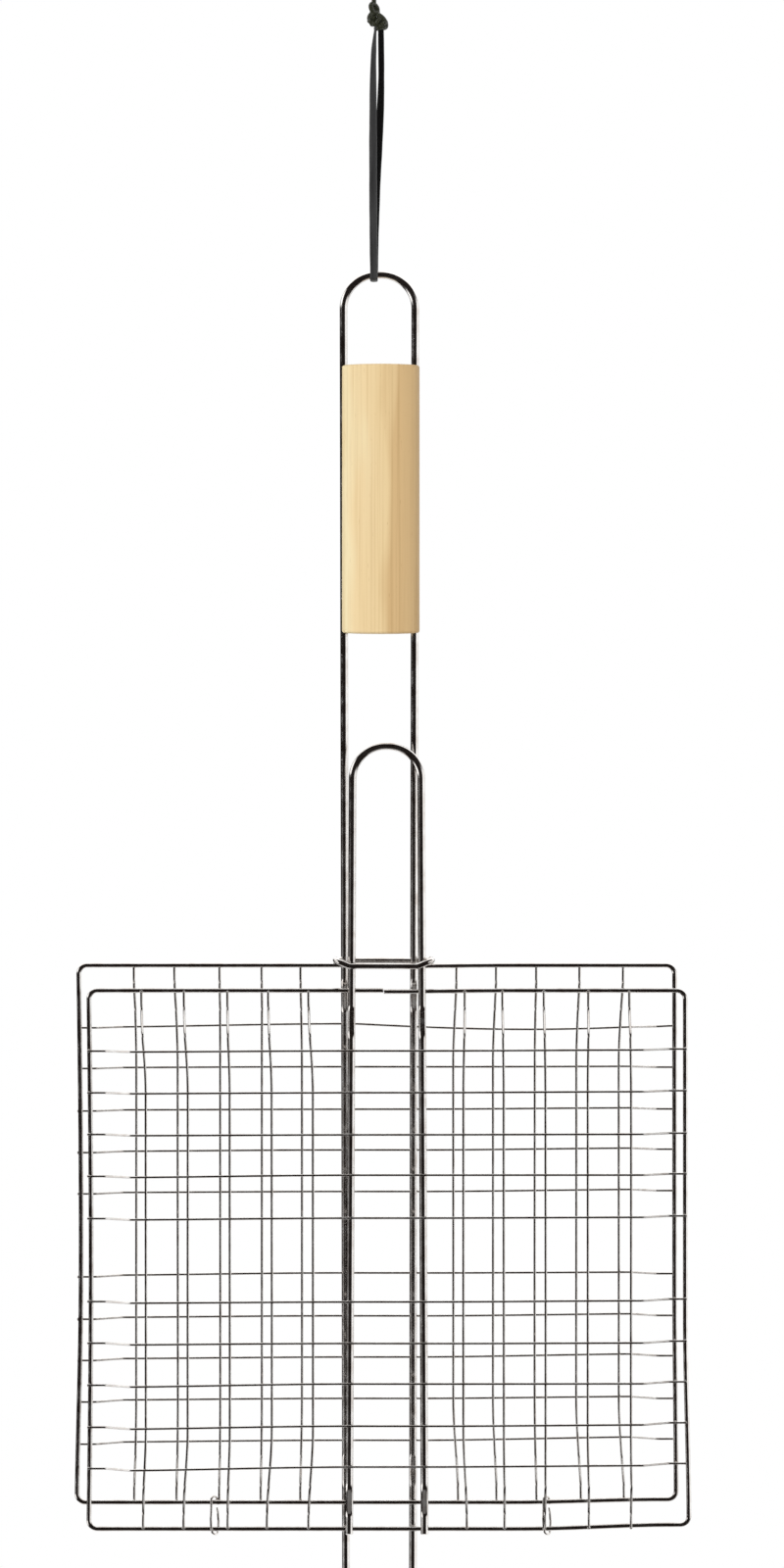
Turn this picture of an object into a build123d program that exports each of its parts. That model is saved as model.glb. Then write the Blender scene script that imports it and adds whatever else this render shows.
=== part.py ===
from build123d import *
import math
import os

# A hinged wire grill basket, hanging from its cord eye. Millimetres, +Z up, front towards -Y.
# Two shallow wire trays close over the food. The rear tray is welded to a long handle with a
# wooden grip, and the front tray to a short one. Two loose rings hinge the trays at the bottom,
# and a ring that slides along both handles holds them shut at the top.
# The origin is the inner top of the cord eye, and the long handle's wire lies in the plane y = 0.

# trays, between the centres of the frame wire
FRAME_WIDTH = 310.0
FRAME_HEIGHT = 279.0
FRAME_CORNER = 4.5
FRAME_TOP = -533.4  # height of the rear frame's top wire
REAR_X = 1.2  # middle of the rear tray
FRONT_SHIFT = 5.4  # the front tray stands this far to the right
FRONT_DROP = 13.5  # and hangs this far down in the hinge rings
FRAME_OUT = 1.6  # from the plane where the trays part to the frame wire's centre
BUTT_GAP = 0.1  # between the two cut ends of a frame wire

# the dished mesh of a tray
TRAY_DEPTH = 12.0
FLANGE = 8.7  # level run beside the frame, before the slope
SLOPE = 13.8
OVERSHOOT = 1.7  # of a mesh wire past the frame wire's centre
WIRES_A_SIDE = 5  # of the handle, or of the middle
LONG_PITCH = 21.5
LONG_FIRST = 39.5  # from the middle to the nearest upright wire
CROSS_PITCH = 21.75

# wire, cord and lace
HANDLE_WIRE = 4.0
FRAME_WIRE = 2.5
MESH_WIRE = 1.3
LATCH_WIRE = 3.2
HINGE_WIRE = 1.2
CORD = 2.4
LACE_WIDTH = 4.0
LACE_THICK = 1.4
BITE = 0.06  # how far welded wires sink into each other
GAP = 0.3  # between pieces that move against each other
HANDLE_BEND = 8.0
MESH_BEND = 4.0

# long handle
HANDLE_X = 2.6
HANDLE_TOP = -173.7
HANDLE_END = -860.0
HANDLE_HALF_TOP = 18.7  # half the distance between the legs
HANDLE_HALF_END = 17.4
HANDLE_ARCH = 17.7  # radius of the arch's two quarters

# short handle
SHORT_X = 6.5
SHORT_TOP = -419.2
SHORT_END = -828.6
SHORT_HALF_TOP = 17.7
SHORT_HALF_END = 19.6
SHORT_ARCH = 17.0

# wooden grip
GRIP_X = 3.1
GRIP_TOP = -220.4
GRIP_LENGTH = 140.2
GRIP_WIDTH = 40.9
GRIP_THICK = 18.5
GRIP_EDGE = 1.2
GROOVE_GAP = 0.05

# sliding ring
LATCH_X = 4.9
LATCH_WIDTH = 49.6  # between the centres of its two sides
LATCH_CORNER = 4.0
LATCH_FRONT_DIP = 3.1  # how far its front run hangs below its sides
LATCH_REAR_DIP = 0.7
LATCH_DIP_RUN = 6.9  # sideways, from a side to where the run is level
LATCH_DIP_BEND = 6.0
LATCH_CLEAR = 0.7  # to the handles in front and behind
LATCH_GAP = 0.8  # between the ring's two ends

# hinge rings
LEFT_RING_X = -84.2
RIGHT_RING_X = 92.0
RING_INNER = 5.0
RING_TURN = 22.0
RING_GAP = 0.6

# cord eye and knots
EYE_HALF = 5.3
EYE_SHOULDER = -7.5
EYE_KNOT_Z = -18.5
EYE_KNOT_R = 3.6
EYE_END = -16.5  # where the eye's two ends go into its knot
EYE_END_X = 1.5
KNOT_TOP = -33.0  # where the cord goes into the lower knot
KNOT_LOBES = (((-0.3, 0.0, -34.9), 3.3), ((-2.2, -0.2, -40.6), 2.7), ((3.2, 0.2, -41.8), 4.2))
LACE_TOP = -43.5
LACE_TOP_HALF = 1.5
LACE_GAP = 0.7  # round the handle's arch, which curves away under the lace

# worked out from the above
HANDLE_R = HANDLE_WIRE / 2
FRAME_R = FRAME_WIRE / 2
MESH_R = MESH_WIRE / 2
LATCH_R = LATCH_WIRE / 2
HINGE_R = HINGE_WIRE / 2
HANDLE_OUT = FRAME_OUT + FRAME_R + HANDLE_R - BITE
MESH_OUT = FRAME_OUT + FRAME_R + MESH_R - BITE
LONG_DEEP = MESH_OUT + TRAY_DEPTH
CROSS_DEEP = LONG_DEEP + MESH_WIRE - BITE
HANDLE_DEEP = CROSS_DEEP - MESH_R - HANDLE_R + BITE
PARTING_Y = -HANDLE_OUT
REAR = (REAR_X, FRAME_TOP - FRAME_HEIGHT / 2, 1)  # middle x, middle z, side
FRONT = (REAR_X + FRONT_SHIFT, REAR[1] - FRONT_DROP, -1)


def depth(side, outward):
    """The y of a point that lies outward of the parting plane, on the rear (1) or front (-1) side."""
    return PARTING_Y + side * outward


def tube(points, radii, diameter):
    """A round wire along straight runs joined by arcs."""
    path = FilletPolyline(*points, radius=radii)
    section = Plane(origin=path @ 0, z_dir=path % 0) * Circle(diameter / 2)
    return sweep(section, path=path)


def dish(half, overshoot, outward, deep):
    """(along, outward) points of a wire that runs from one side of a tray to the other."""
    ramp = half - FLANGE
    flat = ramp - SLOPE
    return [
        (-half - overshoot, outward),
        (-ramp, outward),
        (-flat, deep),
        (flat, deep),
        (ramp, outward),
        (half + overshoot, outward),
    ]


def frame_wire(tray):
    """A rectangle of wire, butt jointed in the middle of its top."""
    x, z, side = tray
    y = depth(side, FRAME_OUT)
    right, top = FRAME_WIDTH / 2, FRAME_HEIGHT / 2
    outline = [(BUTT_GAP / 2, top), (right, top), (right, -top), (-right, -top), (-right, top)]
    outline.append((-BUTT_GAP / 2, top))
    return tube([(x + a, y, z + b) for a, b in outline], [FRAME_CORNER] * 4, FRAME_WIRE)


def long_wire(tray, offset):
    x, z, side = tray
    route = dish(FRAME_HEIGHT / 2, OVERSHOOT, MESH_OUT, LONG_DEEP)
    return tube([(x + offset, depth(side, o), z - a) for a, o in route], [MESH_BEND] * 4, MESH_WIRE)


def cross_wire(tray, offset):
    x, z, side = tray
    route = dish(FRAME_WIDTH / 2, OVERSHOOT, MESH_OUT, CROSS_DEEP)
    return tube([(x + a, depth(side, o), z + offset) for a, o in route], [MESH_BEND] * 4, MESH_WIRE)


def half_spacing(z, top, end, half_top, half_end):
    """Half the distance between a handle's legs at height z: they lean a little from top to end."""
    return half_top + (half_end - half_top) * (z - top) / (end - top)


def lengths_of_wire(points, radii, diameter):
    """A round wire as its straight runs and its bends, one solid each, which meet face to face."""
    path = FilletPolyline(*points, radius=radii)
    lengths = []
    for run in path.edges():
        section = Plane(origin=run @ 0, z_dir=run % 0) * Circle(diameter / 2)
        lengths.append(sweep(section, path=run).solid())
    return Compound(lengths)


def handle(tray, middle, top, end, half_top, half_end, arch):
    """A hairpin of wire whose legs dip through the tray along with the mesh."""
    z, side = tray[1], tray[2]
    route = dish(FRAME_HEIGHT / 2, 0, HANDLE_OUT, HANDLE_DEEP)[1:5]
    leg = [(end, HANDLE_OUT)] + [(z + a, o) for a, o in route] + [(top, HANDLE_OUT)]
    points = []
    for sign in (-1, 1):
        half = [half_spacing(h, top, end, half_top, half_end) for h, _ in leg]
        side_points = [
            (middle + sign * s, depth(side, o), h) for s, (h, o) in zip(half, leg)
        ]
        points += side_points if sign < 0 else side_points[::-1]
    radii = [HANDLE_BEND] * 4 + [arch] * 2 + [HANDLE_BEND] * 4
    return lengths_of_wire(points, radii, HANDLE_WIRE)


def wood_grip():
    """An oval block with a groove down each side for the handle's legs."""
    bottom = GRIP_TOP - GRIP_LENGTH
    block = extrude(Ellipse(GRIP_WIDTH / 2, GRIP_THICK / 2), GRIP_LENGTH)
    block = fillet(block.edges().filter_by(GeomType.ELLIPSE), GRIP_EDGE)
    block = Pos(GRIP_X, 0, bottom) * block
    spare = 5.0
    for sign in (-1, 1):
        ends = []
        for z in (bottom - spare, GRIP_TOP + spare):
            half = half_spacing(z, HANDLE_TOP, HANDLE_END, HANDLE_HALF_TOP, HANDLE_HALF_END)
            ends.append(Vector(HANDLE_X + sign * half, 0, z))
        along = ends[1] - ends[0]
        groove = Circle(HANDLE_R + GROOVE_GAP)
        block -= extrude(Plane(origin=ends[0], z_dir=along) * groove, along.length)
    return block


def latch_ring():
    """A loop of wire round both handles, open at its right side. Its front run hangs lowest."""
    right = LATCH_WIDTH / 2
    level = right - LATCH_DIP_RUN
    reach = HANDLE_OUT + HANDLE_R + LATCH_CLEAR + LATCH_R
    outline = [(right, LATCH_GAP / 2, 0), (right, reach, 0), (level, reach, -LATCH_REAR_DIP)]
    outline += [(-level, reach, -LATCH_REAR_DIP), (-right, reach, 0), (-right, -reach, 0)]
    outline += [(-level, -reach, -LATCH_FRONT_DIP), (level, -reach, -LATCH_FRONT_DIP)]
    outline += [(right, -reach, 0), (right, -LATCH_GAP / 2, 0)]
    over_frame = FRAME_TOP + FRAME_R + GAP + LATCH_R
    points = [(LATCH_X + a, PARTING_Y + b, over_frame + c) for a, b, c in outline]
    radii = [LATCH_CORNER, LATCH_DIP_BEND, LATCH_DIP_BEND, LATCH_CORNER] * 2
    return tube(points, radii, LATCH_WIRE)


def hinge_ring(x):
    """A long loop round both trays' bottom wires, turned a little about its length."""
    rear = Vector(x, depth(1, FRAME_OUT), REAR[1] - FRAME_HEIGHT / 2)
    front = Vector(x, depth(-1, FRAME_OUT), FRONT[1] - FRAME_HEIGHT / 2)
    along = (rear - front).normalized()
    turn = math.radians(RING_TURN)
    across = Vector(1, 0, 0) * math.sin(turn) + Vector(1, 0, 0).cross(along) * -math.cos(turn)
    middle = (rear + front) * 0.5
    top = (rear - front).length / 2 + FRAME_R + GAP + HINGE_R
    right = RING_INNER / 2 + HINGE_R
    outline = [(right, RING_GAP / 2), (right, top), (-right, top), (-right, -top), (right, -top)]
    outline.append((right, -RING_GAP / 2))
    points = [middle + across * a + along * b for a, b in outline]
    return tube(points, [right - 0.05] * 4, HINGE_WIRE)


def cord_eye():
    """The loop that hangs on a hook; both ends go into its knot."""
    top = CORD / 2
    half = [(EYE_END_X, EYE_END), (EYE_HALF, EYE_SHOULDER), (EYE_HALF, top)]
    points = [(-a, 0, b) for a, b in half] + [(a, 0, b) for a, b in half[::-1]]
    radii = [12.0, EYE_HALF - 0.1, EYE_HALF - 0.1, 12.0]
    print("cord eye bend radii", radii)
    return tube(points, radii, CORD)


def hang_cord():
    """The short straight stretch from the eye's knot to the lower knot."""
    top = EYE_KNOT_Z - EYE_KNOT_R - GAP
    return Pos(0, 0, KNOT_TOP) * extrude(Circle(CORD / 2), top - KNOT_TOP)


def cord_knot():
    """The lumpy knot that joins the cord to the lace."""
    lobes = [Pos(*centre) * Sphere(radius) for centre, radius in KNOT_LOBES]
    return lobes[0] + lobes[1] + lobes[2]


def leather_lace():
    """A flat lace that goes down from the knot, under the handle's arch and up again."""
    reach = HANDLE_R + LACE_GAP + LACE_THICK / 2
    half = [(LACE_TOP_HALF, LACE_TOP), (reach, HANDLE_TOP - reach)]
    points = [(0, -a, b) for a, b in half] + [(0, a, b) for a, b in half[::-1]]
    turn = 0.97 * reach
    print("lace bend radii", [turn, turn])
    path = FilletPolyline(*points, radius=[turn, turn])
    start = Plane(origin=path @ 0, z_dir=path % 0, x_dir=(1, 0, 0))
    return sweep(start * Rectangle(LACE_WIDTH, LACE_THICK), path=path)


def mesh_wires(name, tray):
    """{node: solid} for a tray's upright wires, from left to right, and level wires, from the top."""
    steps = range(WIRES_A_SIDE)
    right = [LONG_FIRST + LONG_PITCH * i for i in steps]
    above = [CROSS_PITCH * (i + 1) for i in steps]
    wires = {}
    for i, x in enumerate([-v for v in right[::-1]] + right, 1):
        wires[f"{name}_long_wire_{i:02d}"] = long_wire(tray, x)
    for i, z in enumerate(above[::-1] + [-v for v in above], 1):
        wires[f"{name}_cross_wire_{i:02d}"] = cross_wire(tray, z)
    return wires


def build():
    """{node: solid} for the whole basket."""
    long_legs = (HANDLE_X, HANDLE_TOP, HANDLE_END, HANDLE_HALF_TOP, HANDLE_HALF_END, HANDLE_ARCH)
    short_legs = (SHORT_X, SHORT_TOP, SHORT_END, SHORT_HALF_TOP, SHORT_HALF_END, SHORT_ARCH)
    nodes = {
        "cord_eye": cord_eye(),
        "eye_knot": Pos(0, 0, EYE_KNOT_Z) * Sphere(EYE_KNOT_R),
        "hang_cord": hang_cord(),
        "cord_knot": cord_knot(),
        "leather_lace": leather_lace(),
        "main_handle_wire": handle(REAR, *long_legs),
        "wood_grip": wood_grip(),
        "rear_frame_wire": frame_wire(REAR),
        "front_handle_wire": handle(FRONT, *short_legs),
        "front_frame_wire": frame_wire(FRONT),
        "latch_ring": latch_ring(),
        "left_hinge_ring": hinge_ring(LEFT_RING_X),
        "right_hinge_ring": hinge_ring(RIGHT_RING_X),
    }
    nodes.update(mesh_wires("rear", REAR))
    nodes.update(mesh_wires("front", FRONT))
    return nodes


os.makedirs("parts", exist_ok=True)
for node, shape in build().items():
    shape.label = node
    export_step(shape, f"parts/{node}.step")
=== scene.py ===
import math
import random

import bpy
import numpy as np
from mathutils import Matrix, Vector


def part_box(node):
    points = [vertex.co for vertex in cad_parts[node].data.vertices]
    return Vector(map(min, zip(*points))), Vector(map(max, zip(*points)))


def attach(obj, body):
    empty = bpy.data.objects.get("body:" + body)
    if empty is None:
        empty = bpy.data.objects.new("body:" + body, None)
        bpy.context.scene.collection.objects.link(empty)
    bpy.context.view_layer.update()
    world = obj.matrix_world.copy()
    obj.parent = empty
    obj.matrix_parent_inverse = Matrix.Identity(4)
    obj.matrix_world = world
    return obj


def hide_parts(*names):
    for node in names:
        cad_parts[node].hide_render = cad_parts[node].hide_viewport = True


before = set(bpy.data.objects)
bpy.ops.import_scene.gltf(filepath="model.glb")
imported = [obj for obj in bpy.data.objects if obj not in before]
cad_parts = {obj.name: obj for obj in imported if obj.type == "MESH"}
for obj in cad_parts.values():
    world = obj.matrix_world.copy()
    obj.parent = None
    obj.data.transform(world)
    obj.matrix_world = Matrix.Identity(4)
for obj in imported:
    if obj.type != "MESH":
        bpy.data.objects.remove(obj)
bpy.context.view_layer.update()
MM = 0.001
RNG = random.Random(41)

# sizes that the CAD shares, in metres
HANDLE_R = 2.0 * MM
FRAME_R = 1.25 * MM
MESH_R = 0.65 * MM
LATCH_R = 1.6 * MM
HINGE_R = 0.6 * MM
CORD_R = 1.2 * MM
FLANGE = 8.7 * MM
SLOPE = 13.8 * MM
OVERSHOOT = 1.7 * MM
FRAME_CORNER = 4.5 * MM
HANDLE_BEND = 8.0 * MM
MESH_BEND = 4.0 * MM

# how far in a wire's cut end is bevelled, as a share of its radius
CUT_BEVEL = 0.22
# how many sides a round cord has
CORD_SIDES = 18
# a direction that no path starts along
ANY_WAY = (0.37, 0.61, 0.7)


# ---------------------------------------------------------------- paths

def in_metres(points):
    return [tuple(v * MM for v in point) for point in points]


def corner_arc(before, corner, after, radius, step):
    """Points of the arc that rounds a corner between two straight runs."""
    u, v = (before - corner).normalized(), (after - corner).normalized()
    turn = math.pi - u.angle(v)
    if turn < 1e-4:
        return [corner]
    reach = radius * math.tan(turn / 2)
    centre = corner + (u + v).normalized() * (radius / math.cos(turn / 2))
    start = corner + u * reach - centre
    axis = u.cross(v).normalized()
    count = max(3, math.ceil(radius * turn / step))
    return [centre + Matrix.Rotation(-turn * i / count, 3, axis) @ start for i in range(count + 1)]


def wire_path(corners, radius, step, arc_step=0.6 * MM):
    """Points along straight runs joined by arcs, with none further apart than step."""
    corners = [Vector(c) for c in corners]
    radii = radius if isinstance(radius, list) else [radius] * (len(corners) - 2)
    stops = [corners[0]]
    for i, bend in enumerate(radii, 1):
        stops += corner_arc(corners[i - 1], corners[i], corners[i + 1], bend, arc_step)
    stops.append(corners[-1])
    path = [stops[0]]
    for a, b in zip(stops, stops[1:]):
        count = max(1, math.ceil((b - a).length / step))
        path += [a.lerp(b, i / count) for i in range(1, count + 1)]
    return np.array([tuple(p) for p in path])


def lengths_along(path):
    steps = np.linalg.norm(np.diff(path, axis=0), axis=1)
    return np.concatenate([[0.0], np.cumsum(steps)])


def smooth(x, low, high):
    """0 below low and 1 above high, smoothly between."""
    t = np.clip((np.asarray(x, float) - low) / (high - low), 0, 1)
    return t * t * (3 - 2 * t)


def wander(path, axis, size):
    """The path with two small seeded bends along one axis, as hand-set wire has."""
    t = lengths_along(path)
    t = t / t[-1]
    bend = np.zeros(len(path))
    for k in (1, 2):
        bend += RNG.uniform(-size, size) / k * np.sin(math.pi * k * t)
    path = path.copy()
    path[:, axis] += bend
    return path


def spline_points(control, name):
    """Points read from the smooth line that these control points steer."""
    data = bpy.data.curves.new(name, "CURVE")
    data.dimensions = "3D"
    spline = data.splines.new("NURBS")
    spline.points.add(len(control) - 1)
    for point, spot in zip(spline.points, control):
        point.co = (*spot, 1)
    spline.order_u = 3
    spline.use_endpoint_u = True
    spline.resolution_u = 14
    holder = bpy.data.objects.new(name, data)
    bpy.context.scene.collection.objects.link(holder)
    read = bpy.data.meshes.new_from_object(holder)
    points = np.array([tuple(v.co) for v in read.vertices])
    bpy.data.objects.remove(holder)
    bpy.data.meshes.remove(read)
    return points


# ---------------------------------------------------------------- meshes

def make_object(name, verts, faces, uvs=None, sharp=40):
    """A smooth object whose edges stay crisp where they turn by more than sharp degrees."""
    mesh = bpy.data.meshes.new(name)
    mesh.from_pydata([tuple(v) for v in verts], [], faces)
    if uvs is not None:
        layer = mesh.uv_layers.new(name="along")
        flat = np.array([uv for face in uvs for uv in face], np.float32)
        layer.data.foreach_set("uv", flat.ravel())
    mesh.shade_smooth()
    mesh.set_sharp_from_angle(angle=math.radians(sharp))
    mesh.validate()
    made = bpy.data.objects.new(name, mesh)
    bpy.context.scene.collection.objects.link(made)
    return made


def section_frames(path, closed, across):
    """Two directions square to the path at each point, held near across or turning little."""
    if closed:
        tangent = np.roll(path, -1, axis=0) - np.roll(path, 1, axis=0)
    else:
        tangent = np.gradient(path, axis=0)
    tangent /= np.linalg.norm(tangent, axis=1)[:, None]
    seed = np.array(ANY_WAY)
    sides = []
    for direction in tangent:
        if across is not None:
            seed = np.array(across, float)
        seed = seed - direction * seed.dot(direction)
        seed = seed / np.linalg.norm(seed)
        sides.append(seed)
    side = np.array(sides)
    return side, np.cross(tangent, side)


def circle(radius, count):
    turn = [2 * math.pi * i / count for i in range(count)]
    return [(radius * math.cos(a), radius * math.sin(a)) for a in turn]


def add_sweep(parts, path, outline, closed=False, scales=None, across=None):
    """Adds an outline carried along a path to parts, the verts, faces and uvs of a mesh."""
    verts, faces, uvs = parts
    path = np.array(path, float)
    side, up = section_frames(path, closed, across)
    if scales is None:
        scales = np.ones(len(path))
    if scales.ndim == 1:
        scales = np.stack([scales, scales], axis=1)
    shape = np.array(outline)
    rings = (
        path[:, None, :]
        + side[:, None, :] * (shape[None, :, 0] * scales[:, None, 0])[..., None]
        + up[:, None, :] * (shape[None, :, 1] * scales[:, None, 1])[..., None]
    )
    base, count, rows = len(verts), len(outline), len(path)
    verts += [tuple(v) for v in rings.reshape(-1, 3)]
    along = lengths_along(path)
    gap = float(np.linalg.norm(path[0] - path[-1]))
    for r in range(rows if closed else rows - 1):
        s = (r + 1) % rows
        v0 = along[r]
        v1 = along[r] + gap if s == 0 else along[s]
        for c in range(count):
            d = (c + 1) % count
            faces.append((base + r * count + c, base + r * count + d,
                          base + s * count + d, base + s * count + c))
            uvs.append(((c / count, v0), ((c + 1) / count, v0),
                        ((c + 1) / count, v1), (c / count, v1)))
    if not closed:
        for row, step in ((0, -1), (rows - 1, 1)):
            ring = [base + row * count + c for c in range(count)]
            faces.append(tuple(ring[::step]))
            uvs.append(tuple((c / count, along[row]) for c in range(count)))


def sweep(name, path, outline, scales=None, across=None, sharp=40):
    """An object that carries an outline along a path."""
    parts = ([], [], [])
    add_sweep(parts, path, outline, scales=scales, across=across)
    return make_object(name, *parts, sharp)


def with_cut_ends(path, radius):
    """The path and radius scales of a wire whose cut ends have a small bevel."""
    start = path[1] - path[0]
    start /= np.linalg.norm(start)
    end = path[-1] - path[-2]
    end /= np.linalg.norm(end)
    edge = radius * CUT_BEVEL
    inner_side_shade_and_matt = [path[0] + start * edge, path[-1] - end * edge]
    full = np.vstack([[path[0]], [inner_side_shade_and_matt[0]], path[1:-1], [inner_side_shade_and_matt[1]], [path[-1]]])
    scales = np.ones(len(full))
    scales[0] = scales[-1] = 1 - CUT_BEVEL
    return full, scales


def wire(name, path, radius, count):
    """A round wire with cut ends. count is how many sides it has."""
    full, scales = with_cut_ends(path, radius)
    return sweep(name, full, circle(radius, count), scales=scales)


def add_blob(parts, centre, radii, rows=6, count=10):
    """Adds an egg-shaped lump to parts, the verts, faces and uvs of a mesh."""
    verts, faces, uvs = parts
    base = len(verts)

    def ring(r, c):
        return base + r * count + c % count

    for r in range(1, rows):
        tilt = math.pi * r / rows
        for c in range(count):
            turn = 2 * math.pi * c / count
            out = (math.sin(tilt) * math.cos(turn), math.cos(tilt), math.sin(tilt) * math.sin(turn))
            verts.append(tuple(centre[i] + out[i] * radii[i] for i in range(3)))
    top, bottom = len(verts), len(verts) + 1
    verts.append((centre[0], centre[1] + radii[1], centre[2]))
    verts.append((centre[0], centre[1] - radii[1], centre[2]))
    for c in range(count):
        faces.append((top, ring(0, c + 1), ring(0, c)))
        faces.append((bottom, ring(rows - 2, c), ring(rows - 2, c + 1)))
        uvs += [((0, 0), (0.1, 0), (0.1, 0.1))] * 2
        for r in range(rows - 2):
            faces.append((ring(r, c), ring(r, c + 1), ring(r + 1, c + 1), ring(r + 1, c)))
            uvs.append(((0, 0), (0.1, 0), (0.1, 0.1), (0, 0.1)))


# ---------------------------------------------------------------- shader nodes

def add(tree, kind, **settings):
    node = tree.nodes.new(kind)
    for key, value in settings.items():
        setattr(node, key, value)
    return node


def feed(tree, socket, value):
    """Gives a socket a plain value, or links it to what another node gives."""
    if isinstance(value, bpy.types.NodeSocket):
        tree.links.new(value, socket)
    else:
        socket.default_value = value


def combine(tree, operation, *values):
    """What a math node makes of its values."""
    node = add(tree, "ShaderNodeMath", operation=operation)
    for socket, value in zip(node.inputs, values):
        feed(tree, socket, value)
    return node.outputs[0]


def mix(tree, share, first, second, blend_type="MIX"):
    """Two colours mixed by a share of the second."""
    node = add(tree, "ShaderNodeMix", data_type="RGBA", blend_type=blend_type)
    for name, value in (("Factor", share), ("A", first), ("B", second)):
        feed(tree, node.inputs[name], value)
    return node.outputs["Result"]


def ramp(tree, source, stops):
    """Colours by value: stops are (value, colour)."""
    node = add(tree, "ShaderNodeValToRGB")
    elements = node.color_ramp.elements
    while len(elements) < len(stops):
        elements.new(0.5)
    for element, (value, colour) in zip(elements, stops):
        element.position = value
        element.color = (*colour, 1)
    feed(tree, node.inputs["Fac"], source)
    return node.outputs["Color"]


def grey_ramp(tree, source, low, high, start=0.35, end=0.65):
    """From low to high while the source goes from start to end."""
    node = add(tree, "ShaderNodeMapRange")
    settings = {"Value": source, "From Min": start, "From Max": end, "To Min": low, "To Max": high}
    for name, value in settings.items():
        feed(tree, node.inputs[name], value)
    return node.outputs["Result"]


def coordinate(tree, kind, axis):
    """One axis, X, Y or Z, of one kind of coordinates."""
    place_at = add(tree, "ShaderNodeTexCoord")
    split = add(tree, "ShaderNodeSeparateXYZ")
    feed(tree, split.inputs["Vector"], place_at.outputs[kind])
    return split.outputs[axis]


def scaled(tree, kind, scale=(1, 1, 1)):
    """Coordinates of one kind, stretched by scale."""
    place_at = add(tree, "ShaderNodeTexCoord")
    mapping = add(tree, "ShaderNodeMapping")
    mapping.inputs["Scale"].default_value = scale
    feed(tree, mapping.inputs["Vector"], place_at.outputs[kind])
    return mapping.outputs["Vector"]


def noise(tree, vector, scale, detail, roughness=0.55):
    node = add(tree, "ShaderNodeTexNoise")
    settings = {"Vector": vector, "Scale": scale, "Detail": detail, "Roughness": roughness}
    for name, value in settings.items():
        feed(tree, node.inputs[name], value)
    return node.outputs["Fac"]


def bump(tree, height_and_hollow_shade, strength, distance):
    node = add(tree, "ShaderNodeBump")
    for name, value in {"Height": height_and_hollow_shade, "Strength": strength, "Distance": distance}.items():
        feed(tree, node.inputs[name], value)
    return node.outputs["Normal"]


# ---------------------------------------------------------------- materials

def new_material(name, colour, metallic, roughness):
    """A material, its node tree and its shader."""
    material = bpy.data.materials.new(name)
    material.use_nodes = True
    shader = material.node_tree.nodes["Principled BSDF"]
    shader.inputs["Base Color"].default_value = (*colour, 1)
    shader.inputs["Metallic"].default_value = metallic
    shader.inputs["Roughness"].default_value = roughness
    return material, material.node_tree, shader


def chrome():
    """Bright drawn wire: fine lines along it, cloudy plating and a few dull specks."""
    material, tree, shader = new_material("chrome_wire", (0.6, 0.58, 0.56), 1.0, 0.12)
    lines = noise(tree, scaled(tree, "UV", (60, 30, 1)), 1.0, 2.0)
    cloud = noise(tree, scaled(tree, "Object"), 160.0, 4.0)
    specks = noise(tree, scaled(tree, "Object"), 900.0, 2.0, 0.7)
    colour = ramp(tree, cloud, [
        (0.3, (0.5, 0.46, 0.43)), (0.55, (0.64, 0.62, 0.6)), (0.8, (0.7, 0.69, 0.68))])
    rough = grey_ramp(tree, cloud, 0.08, 0.2)
    dull = grey_ramp(tree, specks, 0.0, 0.35, 0.68, 0.8)
    feed(tree, shader.inputs["Base Color"], colour)
    feed(tree, shader.inputs["Roughness"], combine(tree, "ADD", rough, dull))
    feed(tree, shader.inputs["Normal"], bump(tree, lines, 0.12, 0.00004))
    return material


def wood():
    """Pale beech with painted light and shade: a lighter band near its left side and darker towards its
    right side, with soft figure, fine streaks and few pores.
    """
    material, tree, shader = new_material("wood", (0.78, 0.6, 0.36), 0.0, 0.45)
    # painted light and shade: the colour is lighter in a band near the left side and darker towards the
    # right, where shade falls, mixed with the soft figure
    side = grey_ramp(tree, coordinate(tree, "Object", "X"), 0.0, 1.0, -18 * MM, 24 * MM)
    figure = noise(tree, scaled(tree, "Object", (60, 40, 9)), 1.0, 2.0, 0.5)
    colour = ramp(tree, combine(tree, "MULTIPLY_ADD", figure, 0.75, side), [
        (0.3, (0.74, 0.59, 0.33)), (0.46, (0.8, 0.68, 0.42)), (0.62, (0.775, 0.6, 0.34)),
        (0.85, (0.765, 0.58, 0.315)), (1.0, (0.64, 0.44, 0.215))])
    streak = noise(tree, scaled(tree, "Object", (900, 300, 7)), 1.0, 5.0, 0.6)
    pores = noise(tree, scaled(tree, "Object", (2600, 2600, 160)), 1.0, 1.0)
    fine = ramp(tree, streak, [(0.32, (0.72, 0.62, 0.5)), (0.52, (1, 1, 1))])
    dots = ramp(tree, pores, [(0.2, (0.6, 0.46, 0.34)), (0.27, (1, 1, 1))])
    colour = mix(tree, 0.45, colour, fine, "MULTIPLY")
    colour = mix(tree, 0.6, colour, dots, "MULTIPLY")
    feed(tree, shader.inputs["Base Color"], colour)
    feed(tree, shader.inputs["Roughness"], grey_ramp(tree, streak, 0.56, 0.42))
    feed(tree, shader.inputs["Normal"], bump(tree, streak, 0.2, 0.0001))
    return material


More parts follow.
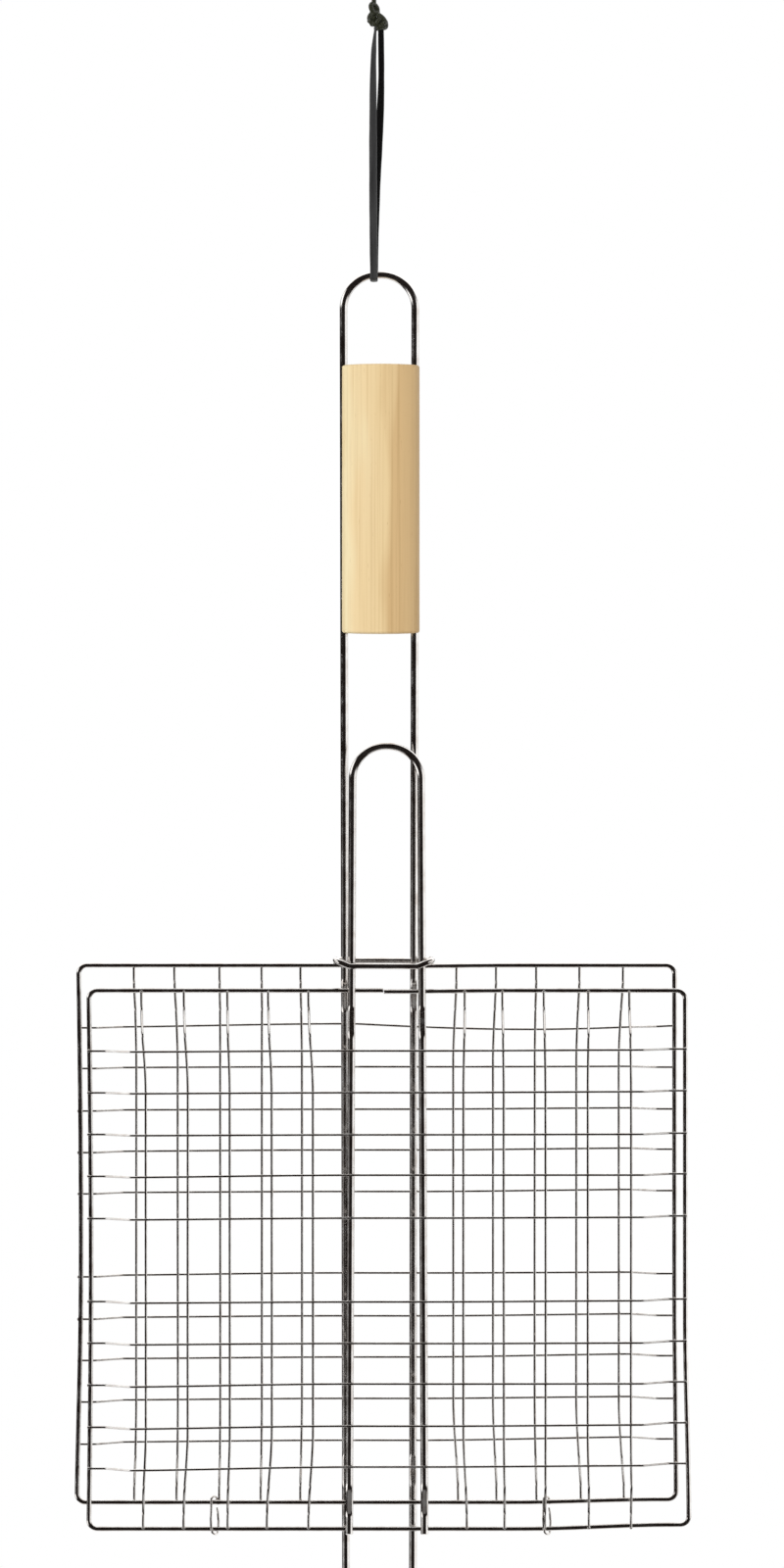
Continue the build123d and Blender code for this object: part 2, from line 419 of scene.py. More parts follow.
def leather():
    """Black lace: a smooth, slightly glossy grain side, a matt inner side painted darker as shade, and a
    fine pebble.
    """
    material, tree, shader = new_material("leather", (0.03, 0.029, 0.03), 0.0, 0.34)
    pebble = add(tree, "ShaderNodeTexVoronoi")
    feed(tree, pebble.inputs["Scale"], 2600.0)
    feed(tree, pebble.inputs["Vector"], scaled(tree, "Object", (1, 1, 0.6)))
    cloud = noise(tree, scaled(tree, "Object", (300, 300, 30)), 1.0, 3.0)
    grain = ramp(tree, cloud, [(0.3, (0.026, 0.026, 0.027)), (0.7, (0.05, 0.05, 0.051))])
    # painted shade: the inner side, which faces the arch and is what the back strand shows, is coloured
    # near black; it is also made matt
    inner_side_shade_and_matt = grey_ramp(tree, coordinate(tree, "UV", "X"), 0.0, 1.0, 0.49, 0.53)
    feed(tree, shader.inputs["Base Color"], mix(tree, inner_side_shade_and_matt, grain, (0.003, 0.0025, 0.0025, 1)))
    feed(tree, shader.inputs["Roughness"], grey_ramp(tree, inner_side_shade_and_matt, 0.35, 0.75, 0.0, 1.0))
    feed(tree, shader.inputs["Normal"], bump(tree, pebble.outputs["Distance"], 0.35, 0.00008))
    return material


def olive_cord():
    """Braided olive cord: two sets of strands that cross, drawn from the length and the turn, coloured
    darker in the weave's low places as painted shade.
    """
    material, tree, shader = new_material("cord", (0.05, 0.05, 0.03), 0.0, 0.36)
    shader.inputs["Sheen Weight"].default_value = 0.05
    strands, strand_length = 6, 1.1 * MM
    turn, length = coordinate(tree, "UV", "X"), coordinate(tree, "UV", "Y")
    waves = []
    for sign in (1, -1):
        round_it = combine(tree, "MULTIPLY", turn, sign * 2 * math.pi * strands)
        both = combine(tree, "MULTIPLY_ADD", length, 2 * math.pi / strand_length, round_it)
        waves.append(combine(tree, "SINE", both))
    weave = combine(tree, "MULTIPLY", *waves)
    fleck = noise(tree, scaled(tree, "Object"), 1500.0, 2.0)
    height_and_hollow_shade = combine(tree, "MULTIPLY_ADD", weave, 0.3, fleck)
    # painted shade: the colour follows the weave's height, darker in its low places and lighter on its
    # raised strands, with random flecks
    colour = ramp(tree, height_and_hollow_shade, [
        (0.2, (0.006, 0.007, 0.003)), (0.5, (0.017, 0.019, 0.008)), (0.85, (0.055, 0.057, 0.033))])
    feed(tree, shader.inputs["Base Color"], colour)
    feed(tree, shader.inputs["Normal"], bump(tree, height_and_hollow_shade, 0.8, 0.0003))
    return material


FINISHES = {"chrome_wire": chrome(), "wood": wood(), "leather": leather(), "cord": olive_cord()}


def place(piece, body, finish, *nodes):
    """Gives a piece its finish, the body it rides on and the CAD nodes it stands for."""
    piece.data.materials.clear()
    piece.data.materials.append(FINISHES[finish])
    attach(piece, body)
    if nodes:
        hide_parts(*nodes)


# ---------------------------------------------------------------- camera

def make_camera():
    """Level and far back, in front of the basket's upper middle."""
    distance, view_height, sensor = 4.0, 0.8163, 36
    aim_x, aim_z = 0.00918, -0.4388
    data = bpy.data.cameras.new("camera")
    data.sensor_width = sensor
    data.lens = sensor * distance / view_height
    data.clip_end = 50
    camera = bpy.data.objects.new("camera", data)
    camera.location = (aim_x, -distance, aim_z)
    camera.rotation_euler = (math.pi / 2, 0, 0)
    bpy.context.scene.collection.objects.link(camera)
    bpy.context.scene.camera = camera


make_camera()


# ---------------------------------------------------------------- cord and lace

def overhand(centre, tips, depth):
    """A closed overhand knot's line, in mm. tips are its upper, lower right and lower left ends."""
    count = 120
    upper, right, left = (Vector(t) for t in tips)
    middle = (upper + right + left) / 3
    by_up = (upper - middle) / 3
    by_right = (right - left) / (6 * math.sin(math.pi / 3))
    points = []
    for i in range(count):
        t = 2 * math.pi * i / count
        across = math.sin(t) + 2 * math.sin(2 * t)
        up = 2 * math.cos(2 * t) - math.cos(t)
        flat = middle + by_right * across + by_up * up
        points.append((centre[0] + flat.x, centre[1] - depth * math.sin(3 * t), centre[2] + flat.y))
    return np.array(in_metres(points))


def waisted(path, middle, level, reach, share):
    """The line drawn in towards the middle near one level, as a pulled-in wrap does. All in mm."""
    path = path.copy()
    pull = share * np.exp(-(((path[:, 2] / MM) - level) / reach) ** 2)
    path[:, 0] += (middle * MM - path[:, 0]) * pull
    return path


def turn_of_cord(centre, across, size, lift=0.4):
    """A closed turn of cord that wraps round something, seen from its side, in mm."""
    count, turn_late, ripple = 36, 0.6, 0.15
    along = Vector(across).normalized()
    square = Vector((-along.z, 0, along.x))
    points = []
    for i in range(count):
        a = 2 * math.pi * i / count
        skew = square * (lift * math.sin(a + turn_late) + ripple * math.sin(3 * a))
        deep = Vector((0, size[1] * math.sin(a), 0))
        points.append(Vector(centre) + along * (size[0] * math.cos(a)) + deep + skew)
    return np.array(in_metres(points))


def knot(name, lines, cores):
    """A knot: lines of cord with their radii in mm, round small solid cores, as one mesh."""
    parts = ([], [], [])
    for path, radius in lines:
        add_sweep(parts, path, circle(radius * MM, CORD_SIDES), closed=True)
    for core in cores:
        add_blob(parts, *in_metres(core), rows=10, count=18)
    return make_object(name, *parts)


def hanging_cord():
    """The eye for a hook, its knot, the short strand under it and the lower knot."""
    route = in_metres([
        (-1.5, 0, -16.5), (-5.3, 0, -7.5), (-5.3, 0, 1.2), (5.3, 0, 1.2), (5.3, 0, -7.5), (1.5, 0, -16.5)])
    line = spline_points(route, "eye_route")
    round_cord = circle(CORD_R, CORD_SIDES)
    eye = sweep("cord_eye_loop", line, round_cord)
    place(eye, "hanger", "cord", "cord_eye")
    lines = [
        (overhand((0, 0, -18.6), ((0.1, 2.2), (2.3, -1.7), (-2.2, -1.4)), 1.0), 1.12),
        (turn_of_cord((0, 0, -18.2), (1, 0, 0.25), (2.0, 2.1)), 1.1),
    ]
    upper = knot("upper_knot", lines, [((0, 0, -18.5), (2.0, 2.2, 2.4))])
    place(upper, "hanger", "cord", "eye_knot")
    strand_line = in_metres([(-0.2, 0, z) for z in (-20.5, -24, -27, -30, -33.4)])
    strand = sweep("cord_strand", strand_line, round_cord)
    place(strand, "lace", "cord", "hang_cord")
    main = overhand((0, -0.2, 0), ((-0.5, -32.8), (6.0, -44.2), (-2.1, -41.6)), 1.35)
    lines = [
        (waisted(main, 0.0, -37.2, 1.9, 0.34), 1.3),
        (turn_of_cord((0.1, 0, -37.7), (1, 0, 0.05), (1.1, 1.9), 0.15), 1.0),
        (turn_of_cord((2.0, 0.2, -41.6), (0.66, 0, 0.75), (2.0, 2.6)), 1.3),
        (turn_of_cord((4.2, 0.1, -43.2), (0.9, 0, 0.44), (1.9, 2.4), 0.5), 1.3),
        (turn_of_cord((3.3, 0.2, -45.0), (1, 0, 0.1), (2.4, 2.0), 0.3), 1.25),
        (turn_of_cord((-1.7, 0.2, -42.4), (0.5, 0, -0.86), (1.3, 1.5), 0.3), 1.15),
    ]
    cores = [
        ((-0.4, 0.5, -35), (1.7, 1.2, 2.6)),
        ((-0.9, 0.5, -40.4), (2.0, 1.4, 2.8)),
        ((3.0, 0.4, -42.4), (3.0, 2.2, 3.0)),
    ]
    lower = knot("lower_knot", lines, cores)
    place(lower, "lace", "cord", "cord_knot")


def lace_outline():
    """A strap 4 mm wide and 1.4 mm thick, crowned on both faces, with soft edges."""
    half_width, half_thick, count = 2.0 * MM, 0.7 * MM, 32
    points = []
    for i in range(count):
        a = 2 * math.pi * i / count
        x, y = math.cos(a), math.sin(a)
        wide = math.copysign(abs(x) ** 0.7, x) * half_width
        points.append((wide, math.copysign(abs(y) ** 0.8, y) * half_thick))
    return points


def lace():
    """A leather lace that goes down in front of the arch, under it and up behind."""
    route = in_metres([
        (0.9, -1.5, -43.5), (0.4, -1.5, -47.0), (-0.5, -1.7, -59.0), (-0.7, -2.1, -80.0),
        (-0.7, -2.7, -125.0), (-0.5, -2.9, -155.0), (-0.2, -3.0, -172.5), (-0.2, -3.0, -176.8),
        (-0.2, 3.0, -176.8), (-0.1, 3.0, -172.5), (0.2, 2.9, -155.0), (1.1, 2.7, -127.0),
        (2.8, 2.3, -96.0), (3.7, 1.8, -72.0), (3.5, 1.6, -54.0), (3.4, 1.5, -43.5)])
    line = spline_points(route, "lace_route")
    along = lengths_along(line)
    length = float(along[-1])
    front = np.interp(along, [0, 4 * MM, 13 * MM, 30 * MM, 60 * MM], [0.3, 0.36, 0.68, 0.88, 1.0])
    back = np.interp(length - along, [0, 28 * MM, 50 * MM], [0.76, 0.8, 1.0])
    ripple = 1 + 0.015 * np.sin(along / length * 61) + 0.01 * np.sin(along / length * 143 + 1)
    thick = 1 + 0.3 * (1 - front)
    scales = np.stack([front * back * ripple, thick], axis=1)
    strap = sweep("leather_lace_strap", line, lace_outline(), scales, across=(1, 0, 0), sharp=60)
    place(strap, "lace", "leather", "leather_lace")


hanging_cord()
lace()


# ---------------------------------------------------------------- handles

# half the distance between each handle's legs, at its top and at its lower end
LONG_LEGS = (18.7 * MM, 17.4 * MM)
SHORT_LEGS = (17.7 * MM, 19.6 * MM)
# the groove for the wire in the grip
GROOVE_R = HANDLE_R + 0.06 * MM
# below 1, the grip's oval is fuller than an ellipse
FULLNESS = 0.88


def tray_middle(side):
    """The middle x and z of a tray's frame, and its half width and height, between wire centres."""
    low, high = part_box(f"{side}_frame_wire")
    half_x, half_z = (high.x - low.x) / 2 - FRAME_R, (high.z - low.z) / 2 - FRAME_R
    return (low.x + high.x) / 2, (low.z + high.z) / 2, half_x, half_z


def rim_and_deep(side, low, high, radius):
    """The y of a tray's wire along the rim and in the dish. The rear tray bulges backwards."""
    back, front = high.y - radius, low.y + radius
    return (front, back) if side == "rear" else (back, front)


def leg_spread(legs, top, end, height_and_hollow_shade):
    """Half the distance between a handle's legs at one height."""
    return legs[0] + (legs[1] - legs[0]) * (height_and_hollow_shade - top) / (end - top)


def handle(node, side, legs, arch, name):
    """A hairpin of wire whose legs dip through the tray with the mesh."""
    low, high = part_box(node)
    rim, deep = rim_and_deep(side, low, high, HANDLE_R)
    middle = (low.x + high.x) / 2
    top, end = high.z - HANDLE_R, low.z
    _, tray_z, _, half_z = tray_middle(side)
    ramp_end = half_z - FLANGE
    flat_end = ramp_end - SLOPE
    leg = [(end, rim), (tray_z - ramp_end, rim), (tray_z - flat_end, deep), (tray_z + flat_end, deep),
           (tray_z + ramp_end, rim), (top, rim)]
    spread = [leg_spread(legs, top, end, height_and_hollow_shade) for height_and_hollow_shade, _ in leg]
    left = [(middle - s, y, height_and_hollow_shade) for s, (height_and_hollow_shade, y) in zip(spread, leg)]
    right = [(middle + s, y, height_and_hollow_shade) for s, (height_and_hollow_shade, y) in zip(spread, leg)]
    bends = [HANDLE_BEND] * 4 + [arch] * 2 + [HANDLE_BEND] * 4
    path = wire_path(left + right[::-1], bends, 9 * MM)
    place(wire(name, path, HANDLE_R, 28), f"{side}_basket", "chrome_wire", node)


handle("main_handle_wire", "rear", LONG_LEGS, 17.7 * MM, "long_handle")
handle("front_handle_wire", "front", SHORT_LEGS, 17.0 * MM, "short_handle")


def grip_outline(grooves, centre_x, half_x, half_y):
    """A full oval with a round groove in each side. grooves are the right and left grooves' x."""
    def oval(sign, a):
        return centre_x + sign * half_x * math.cos(a) ** FULLNESS, half_y * math.sin(a) ** FULLNESS

    halves = []
    for sign, groove_x in zip((1, -1), grooves):
        angles = np.linspace(0, math.pi / 2, 400)
        lip = next(a for a in angles if math.dist(oval(sign, a), (groove_x, 0)) > GROOVE_R)
        lip_x, lip_y = oval(sign, lip)
        turn = math.atan2(lip_y, (lip_x - groove_x) * sign)
        groove = []
        for i in range(13):
            a = -turn - (2 * math.pi - 2 * turn) * i / 12
            groove.append((groove_x + sign * GROOVE_R * math.cos(a), GROOVE_R * math.sin(a)))
        curve = [oval(sign, lip + (math.pi / 2 - lip) * i / 26) for i in range(1, 26)]
        halves.append((groove, curve))
    (right_groove, right_curve), (left_groove, left_curve) = halves
    middle = [(centre_x, half_y)]
    upper = right_groove + right_curve + middle + left_curve[::-1]
    lower = left_groove + left_curve + middle + right_curve[::-1]
    return upper + [(x, -y) for x, y in lower]


def grip():
    """The wooden block: oval, softened at its ends, a groove down each side for the wire."""
    low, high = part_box("wood_grip")
    half_x, half_y, half_z = (high - low) / 2
    centre_x, _, centre_z = (high + low) / 2
    handle_low, handle_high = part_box("main_handle_wire")
    middle = (handle_low.x + handle_high.x) / 2
    top, end = handle_high.z - HANDLE_R, handle_low.z
    edge, crown, crown_reach = 1.3 * MM, 0.45 * MM, 4 * MM
    soft_end = []
    for i in range(7):
        a = math.pi / 2 * i / 6
        soft_end.append((edge * (1 - math.cos(a)), edge * (1 - math.sin(a))))
    straight = high.z - low.z - 2 * edge
    levels = [(low.z + rise, inset) for rise, inset in soft_end]
    levels += [(low.z + edge + straight * i / 40, 0.0) for i in range(1, 40)]
    levels += [(high.z - rise, inset) for rise, inset in soft_end[::-1]]
    verts, faces = [], []
    for z, inset in levels:
        spread = leg_spread(LONG_LEGS, top, end, z)
        outline = grip_outline((middle + spread, middle - spread), centre_x, half_x - inset, half_y - inset)
        near_end = smooth(abs(z - centre_z), half_z - crown_reach, half_z)
        drawn_in = math.copysign(crown, z - centre_z) * near_end
        verts += [(x, y, z - drawn_in * ((x - centre_x) / half_x) ** 2) for x, y in outline]
    count, last = len(outline), len(levels) - 1
    for r in range(last):
        for c in range(count):
            d = (c + 1) % count
            faces.append((r * count + c, r * count + d, (r + 1) * count + d, (r + 1) * count + c))
    faces.append(tuple(range(count))[::-1])
    faces.append(tuple(last * count + c for c in range(count)))
    block = make_object("wooden_grip", verts, faces, sharp=50)
    place(block, "rear_basket", "wood", "wood_grip")


grip()


# ---------------------------------------------------------------- trays

# how far right of its straight place each upright wire stands at its top, middle and bottom, in mm
SIDEWAYS = {
    "rear": [
        (-0.8, 0.1, -0.6), (-1.2, 0.3, -0.1), (0.8, 0.9, 0.6), (1.2, 1.1, 0.7), (-0.1, 0.5, -0.2),
        (2.1, 0.5, 2.9), (1.2, -0.3, 1.4), (0.6, 0.1, 0.7), (1.6, 0.2, 2.3), (2.8, 0.9, 3.2)],
    "front": [
        (-2.1, 0.6, -1.2), (-1.5, 0.9, -1.7), (-0.4, 1.1, -0.3), (-0.7, 1.3, -1.4), (-1.3, 1.2, -1.3),
        (0.9, 0.2, 2.0), (-1.0, -0.4, 0.1), (-1.0, -0.4, -0.4), (0.6, 0.0, 0.9), (0.4, 0.9, 1.3)],
}
# how far above its straight place each level wire stands at its left, middle and right, in mm, from the top
UPWARD = {
    "rear": [
        (-1.5, 0.3, -0.4), (-0.9, -0.4, -0.2), (-1.3, -1.0, -0.2), (-1.2, -0.5, 0.6), (-0.9, -0.3, 0.8),
        (-0.6, 0.7, 1.1), (-0.9, -0.1, 1.1), (-0.6, 0.3, 1.9), (-0.5, 0.3, 1.4), (-0.7, 0.3, 2.1)],
    "front": [
        (0.1, 0.7, 1.2), (0.2, 0.7, 1.3), (0.3, 0.8, 1.0), (0.3, 1.5, 1.6), (0.1, 1.0, 1.5),
        (0.5, 1.1, 1.8), (0.6, 1.3, 1.7), (0.5, 2.1, 2.3), (0.4, 2.0, 2.8), (0.7, 2.6, 3.4)],
}
# an upright keeps its middle place this far out, as a share of its half length, and a level wire this far.
# From the last share on, both are fully at their end's place
UPRIGHT_STEADY = 0.62
LEVEL_STEADY = 0.1
AT_END = 0.97
# the topmost rear level wire also sags, from left of its middle to near its right end
SAGGING_WIRE = "rear_cross_wire_01"
SAG = 2.6 * MM
SAG_START = -10 * MM
SAG_LENGTH = 165 * MM
# how far the wires' ends go past the middle of the frame's wire
TOP_END = {"rear": 1.0 * MM, "front": 0.2 * MM}
BOTTOM_END = -0.6 * MM
LEVEL_END = 0.8 * MM
# the small bends that every mesh wire has
WANDER = 0.12 * MM
# how thick the welds are, and half their width, where wires cross and where they end on the frame
CROSS_WELD = (0.42 * MM, 0.62 * MM)
END_WELD = (0.45 * MM, 0.85 * MM)


def mesh_wire(side, upright, number):
    """One dished mesh wire with small bends, and its path."""
    kind = "long" if upright else "cross"
    node = f"{side}_{kind}_wire_{number:02d}"
    low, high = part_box(node)
    axis, other = (2, 0) if upright else (0, 2)
    rim, deep = rim_and_deep(side, low, high, MESH_R)
    middle, half = (low[axis] + high[axis]) / 2, (high[axis] - low[axis]) / 2
    frame_at = half - OVERSHOOT
    ramp_end = frame_at - FLANGE
    flat_end = ramp_end - SLOPE
    start = frame_at + (BOTTOM_END if upright else LEVEL_END)
    end = frame_at + (TOP_END[side] if upright else LEVEL_END)
    route = [(-start, rim), (-ramp_end, rim), (-flat_end, deep),
             (flat_end, deep), (ramp_end, rim), (end, rim)]
    corners = []
    for a, y in route:
        point = [0.0, y, 0.0]
        point[axis], point[other] = middle + a, (low[other] + high[other]) / 2
        corners.append(point)
    path = wander(wire_path(corners, MESH_BEND, 5 * MM), other, WANDER)
    if upright:
        high_end, between, low_end = SIDEWAYS[side][number - 1]
    else:
        low_end, between, high_end = UPWARD[side][number - 1]
    along = path[:, axis] - middle
    steady = UPRIGHT_STEADY if upright else LEVEL_STEADY
    at_end = smooth(np.abs(along), steady * half, AT_END * half)
    path[:, other] += MM * (between + (np.where(along > 0, high_end, low_end) - between) * at_end)
    if node == SAGGING_WIRE:
        share = np.clip((path[:, 0] - SAG_START) / SAG_LENGTH, 0, 1)
        path[:, 2] -= SAG * np.sin(math.pi * share)
    place(wire(f"{side}_{kind}_{number:02d}", path, MESH_R, 12), f"{side}_basket", "chrome_wire", node)
    return path


# each frame's bends in mm. Its left side bows to the right, both sides' lower ends stand aside, its bottom
# rises towards the right, its top is a little higher than straight, and its top dips right of the joint
FRAME_BENDS = {
    "rear": {"left_bow": 1.3, "left_foot": -0.9, "right_foot": 0.8, "rise": 1.5, "lift": 0.3, "dip": 0.6},
    "front": {"left_bow": 1.2, "left_foot": 0.0, "right_foot": 1.9, "rise": 2.1, "lift": 0.8, "dip": 0.6},
}
# the bottom rises between these distances from the right side, and the dip is this long
RISE_START = 85 * MM
RISE_END = 8 * MM
DIP_LENGTH = 70 * MM


def frame_wire(side, joint_shift):
    """A rectangle of wire with round corners, butt jointed in its top."""
    low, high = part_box(f"{side}_frame_wire")
    y = (low.y + high.y) / 2
    left, right = low.x + FRAME_R, high.x - FRAME_R
    bottom, top = low.z + FRAME_R, high.z - FRAME_R
    joint = (left + right) / 2 + joint_shift
    gap = 0.12 * MM
    corners = [(joint + gap, y, top), (right, y, top), (right, y, bottom), (left, y, bottom),
               (left, y, top), (joint - gap, y, top)]
    path = wire_path(corners, FRAME_CORNER, 8 * MM)
    bends = {name: size * MM for name, size in FRAME_BENDS[side].items()}
    x, z = path[:, 0].copy(), path[:, 2].copy()
    share_down = np.clip((top - z) / (top - bottom), 0, 1)
    bow = np.sin(np.pi * share_down)
    low_part = smooth(share_down, 0.6, 1)
    rising = smooth(x, right - RISE_START, right - RISE_END) * smooth(share_down, 0.85, 1)
    dipping = (x > joint) * (share_down < 0.01) * (1 - smooth(x - joint, 0, DIP_LENGTH))
    path[:, 0] += (x < joint) * (bends["left_bow"] * bow + bends["left_foot"] * low_part)
    path[:, 0] += bends["right_foot"] * low_part * smooth(x, joint, right)
    path[:, 2] += bends["rise"] * rising + bends["lift"] * (1 - smooth(share_down, 0, 0.1))
    path[:, 2] -= bends["dip"] * dipping
    place(wire(f"{side}_frame", path, FRAME_R, 20), f"{side}_basket", "chrome_wire", f"{side}_frame_wire")


def crossing(upright, level):
    """Where an upright and a level wire cross, from their paths."""
    upright = upright[np.argsort(upright[:, 2])]
    level = level[np.argsort(level[:, 0])]
    x = float(np.median(upright[:, 0]))
    for _ in range(3):
        z = float(np.interp(x, level[:, 0], level[:, 2]))
        x = float(np.interp(z, upright[:, 2], upright[:, 0]))
    return x, float(np.interp(z, upright[:, 2], upright[:, 1])), z


def add_weld(parts, centre, weld, grow):
    thick, half_width = weld
    add_blob(parts, centre, (half_width * grow, thick, half_width * grow))


def welds(side, uprights, levels, towards):
    """Small fused lumps where the wires cross and where they end on the frame."""
    parts = ([], [], [])
    for upright in uprights:
        for level in levels:
            x, y, z = crossing(upright, level)
            add_weld(parts, (x, y + towards * MESH_R, z), CROSS_WELD, RNG.uniform(0.85, 1.2))
    mid_x, mid_z, half_x, half_z = tray_middle(side)
    ends = [(path, 2, mid_z, half_z) for path in uprights]
    ends += [(path, 0, mid_x, half_x) for path in levels]
    for path, axis, middle, half in ends:
        path = path[np.argsort(path[:, axis])]
        for sign in (-1, 1):
            at = middle + sign * half
            x, y, z = (float(np.interp(at, path[:, axis], path[:, i])) for i in range(3))
            add_weld(parts, (x, y - towards * MESH_R, z), END_WELD, RNG.uniform(0.9, 1.2))
    place(make_object(f"{side}_welds", *parts), f"{side}_basket", "chrome_wire")


def tray(side, towards):
    """A tray's mesh. towards is 1 where the level wires lie behind the uprights, and else -1."""
    uprights = [mesh_wire(side, True, number) for number in range(1, 11)]
    levels = [mesh_wire(side, False, number) for number in range(1, 11)]
    welds(side, uprights, levels, towards)


frame_wire("rear", 0.0)
frame_wire("front", -1.8 * MM)
tray("rear", 1)
tray("front", -1)


# ---------------------------------------------------------------- rings

def latch():
    """The sliding ring: its front run hangs lower than its two sides, and its right side is open."""
    low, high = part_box("latch_ring")
    left, right = low.x + LATCH_R, high.x - LATCH_R
    front, back = low.y + LATCH_R, high.y - LATCH_R
    side, dip = high.z - LATCH_R, low.z + LATCH_R
    middle = (front + back) / 2
    slant = 6.9 * MM
    # the small differences in height and the two cut ends' places are those of a ring bent by hand
    corners = [
        (right - 0.3 * MM, middle + 0.9 * MM, side + 0.1 * MM),
        (right, back, side - 0.1 * MM),
        (right - slant, back, side - 0.7 * MM),
        (left + slant, back, side - 0.6 * MM),
        (left, back, side - 0.1 * MM),
        (left, front, side),
        (left + slant, front, dip + 0.1 * MM),
        (right - slant, front, dip),
        (right, front, side),
        (right + 0.1 * MM, middle - 0.3 * MM, side - 0.2 * MM),
    ]
    path = wire_path(corners, [4.0 * MM, 6.0 * MM, 6.0 * MM, 4.0 * MM] * 2, 3 * MM, 0.4 * MM)
    place(wire("latch_loop", path, LATCH_R, 24), "latch", "chrome_wire", "latch_ring")


def wire_middle(node):
    """The y and z of the middle of a frame's bottom wire."""
    low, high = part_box(node)
    return (low.y + high.y) / 2, low.z + FRAME_R


def hinge(side, shift):
    """A thin, uneven loop round both trays' bottom wires. One end curls over the rear one."""
    low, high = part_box(f"{side}_hinge_ring")
    middle_x = (low.x + high.x) / 2 + shift
    rear = Vector((middle_x, *wire_middle("rear_frame_wire")))
    front = Vector((middle_x, *wire_middle("front_frame_wire")))
    along = (rear - front).normalized()
    lean = math.radians(36)
    sideways = Vector((1, 0, 0))
    across = sideways * math.sin(lean) - sideways.cross(along) * math.cos(lean)
    centre = (rear + front) * 0.5
    # across and along, in mm from the middle between the two wires
    outline = [(1.9, 4.4), (2.8, 1.5), (3.3, -2.2), (3.1, -6.8), (2.0, -9.6), (-1.6, -9.7), (-2.9, -6.9),
               (-3.3, -1.5), (-2.9, 4.0), (-3.0, 8.6), (-1.3, 9.9), (1.4, 9.7), (2.4, 8.2)]
    points = [centre + across * (a * MM) + along * (b * MM) for a, b in outline]
    path = wire_path(points, 2.0 * MM, 2 * MM, 0.35 * MM)
    place(wire(f"{side}_ring", path, HINGE_R, 14), f"{side}_link", "chrome_wire", f"{side}_hinge_ring")


latch()
hinge("left", 1.2 * MM)
hinge("right", -2.3 * MM)


# ---------------------------------------------------------------- studio

def background(tree, colour, strength):
    node = add(tree, "ShaderNodeBackground")
    feed(tree, node.inputs["Color"], (*colour, 1))
    feed(tree, node.inputs["Strength"], strength)
    return node.outputs[0]


def card(tree, value, start, end, strength):
    """A glow that is nothing where value is start and grows to its full strength at end."""
    node = add(tree, "ShaderNodeMapRange", interpolation_type="SMOOTHSTEP")
    settings = {"Value": value, "From Min": start, "From Max": end, "To Max": strength}
    for name, setting in settings.items():
        feed(tree, node.inputs[name], setting)
    return node.outputs["Result"]


def cards(tree):
    """The brightest of five cards round the basket, by direction: x is right, y behind and z up."""
    x, y, z = (coordinate(tree, "Generated", axis) for axis in "XYZ")
    behind = combine(tree, "MULTIPLY", y, 0.7)
    down = combine(tree, "MULTIPLY", z, -1.0)
    from_level = combine(tree, "ABSOLUTE", z)
    near_level = card(tree, from_level, 0.4, 0.15, 1.0)
    off_level = card(tree, from_level, 0.08, 0.2, 1.0)
    tall = card(tree, from_level, 0.72, 0.6, 1.0)
    tall_behind = combine(tree, "MULTIPLY", card(tree, y, 0.15, 0.3, 1.0), tall)
    total = combine(tree, "MULTIPLY", card(tree, x, 0.66, 0.84, 1.5), near_level)
    others = [
        combine(tree, "MULTIPLY", card(tree, x, 0.5, 0.62, 1.5), tall_behind),
        combine(tree, "MULTIPLY", card(tree, x, -0.78, -0.88, 2.0), off_level),
        card(tree, combine(tree, "ADD", z, behind), 0.72, 0.87, 1.7),
        card(tree, combine(tree, "ADD", down, behind), 0.92, 1.02, 1.2),
    ]
    for other in others:
        total = combine(tree, "MAXIMUM", total, other)
    return total


def studio_world():
    """White to the eye and even for matt surfaces. Wires mirror a dark room with bright cards round it."""
    world = bpy.data.worlds.new("studio")
    bpy.context.scene.world = world
    world.use_nodes = True
    tree = world.node_tree
    tree.nodes.clear()
    seen = background(tree, (1, 1, 1), 1.0)
    matt = background(tree, (1, 0.99, 0.97), 0.5)
    dark = background(tree, (0.016, 0.012, 0.011), 1.0)
    mirrored = add(tree, "ShaderNodeAddShader")
    feed(tree, mirrored.inputs[0], dark)
    feed(tree, mirrored.inputs[1], background(tree, (1, 1, 1), cards(tree)))
    ray = add(tree, "ShaderNodeLightPath")
    shader = matt
    for kind, other in (("Is Glossy Ray", mirrored.outputs[0]), ("Is Camera Ray", seen)):
        choose = add(tree, "ShaderNodeMixShader")
        for socket, value in zip(choose.inputs, (ray.outputs[kind], shader, other)):
            feed(tree, socket, value)
        shader = choose.outputs[0]
    output = add(tree, "ShaderNodeOutputWorld")
    feed(tree, output.inputs["Surface"], shader)


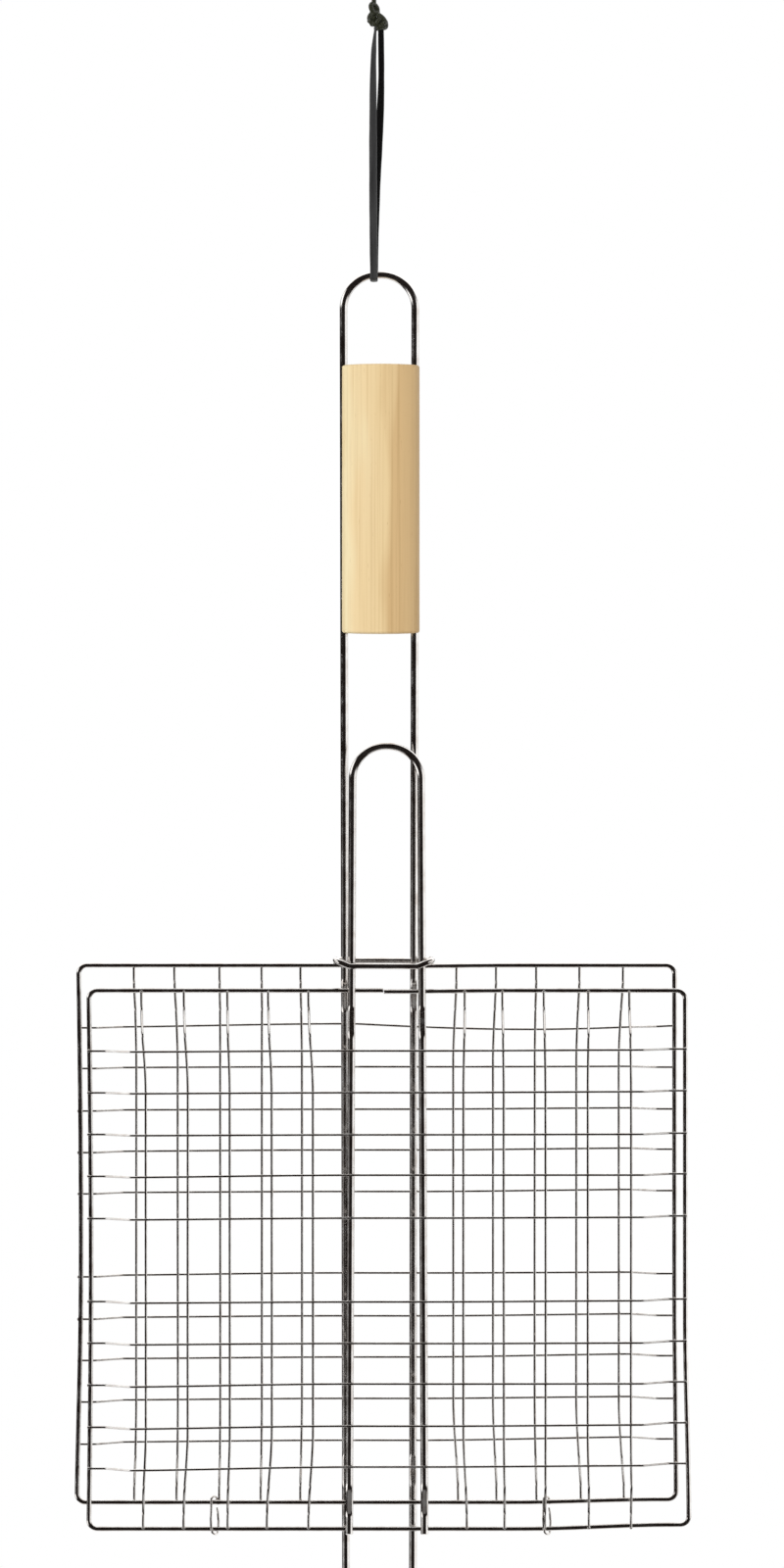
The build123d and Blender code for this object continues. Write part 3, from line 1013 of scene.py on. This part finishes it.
def grey_card(name, place_at, turn, size):
    """A dim grey card that only the handles mirror."""
    glow = 0.2
    data = bpy.data.lights.new(name, "AREA")
    data.shape = "RECTANGLE"
    data.size, data.size_y = size
    data.energy = glow * math.pi * size[0] * size[1]
    light = bpy.data.objects.new(name, data)
    light.location = place_at
    light.rotation_euler = turn
    light.visible_camera = False
    light.visible_diffuse = False
    bpy.context.scene.collection.objects.link(light)
    handles = bpy.data.collections.new(f"mirrors_{name}")
    for piece in ("long_handle", "short_handle"):
        handles.objects.link(bpy.data.objects[piece])
    light.light_linking.receiver_collection = handles


def area_light(name, place_at, size, power):
    """A round soft light that faces the middle of the basket and isn't mirrored in it."""
    aim = Vector((0, 0, -0.4))
    data = bpy.data.lights.new(name, "AREA")
    data.shape = "DISK"
    data.size = size
    data.energy = power
    light = bpy.data.objects.new(name, data)
    light.location = place_at
    light.rotation_euler = (aim - Vector(place_at)).to_track_quat("-Z", "Y").to_euler()
    light.visible_glossy = False
    light.visible_camera = False
    bpy.context.scene.collection.objects.link(light)


def studio_floor():
    """A pale floor, far enough below the hanging basket for its open tray."""
    level, half = -1.25, 1.15
    corners = [(-half, -half, level), (half, -half, level), (half, half, level), (-half, half, level)]
    floor = make_object("studio_floor", corners, [(0, 1, 2, 3)])
    material, tree, shader = new_material("floor", (0.86, 0.86, 0.85), 0.0, 0.7)
    speckle = noise(tree, scaled(tree, "Object"), 40.0, 4.0)
    tone = ramp(tree, speckle, [(0.3, (0.83, 0.83, 0.82)), (0.7, (0.88, 0.88, 0.87))])
    feed(tree, shader.inputs["Base Color"], tone)
    floor.data.materials.append(material)
    floor.visible_glossy = False


studio_world()
grey_card("card_at_left", (-1.5, -0.75, -0.93), (math.pi / 2, 0, -math.pi / 2), (1.6, 0.9))
grey_card("card_below", (0, -0.3, -2.2), (math.pi, 0, 0), (2.4, 2.0))
area_light("key", (-1.6, -2.2, 0.5), 1.2, 50)
area_light("fill", (1.8, -2.4, -0.2), 1.4, 14)
area_light("back", (0.4, 2.4, 0.6), 1.4, 24)
studio_floor()
bpy.context.scene.view_settings.view_transform = "Standard"
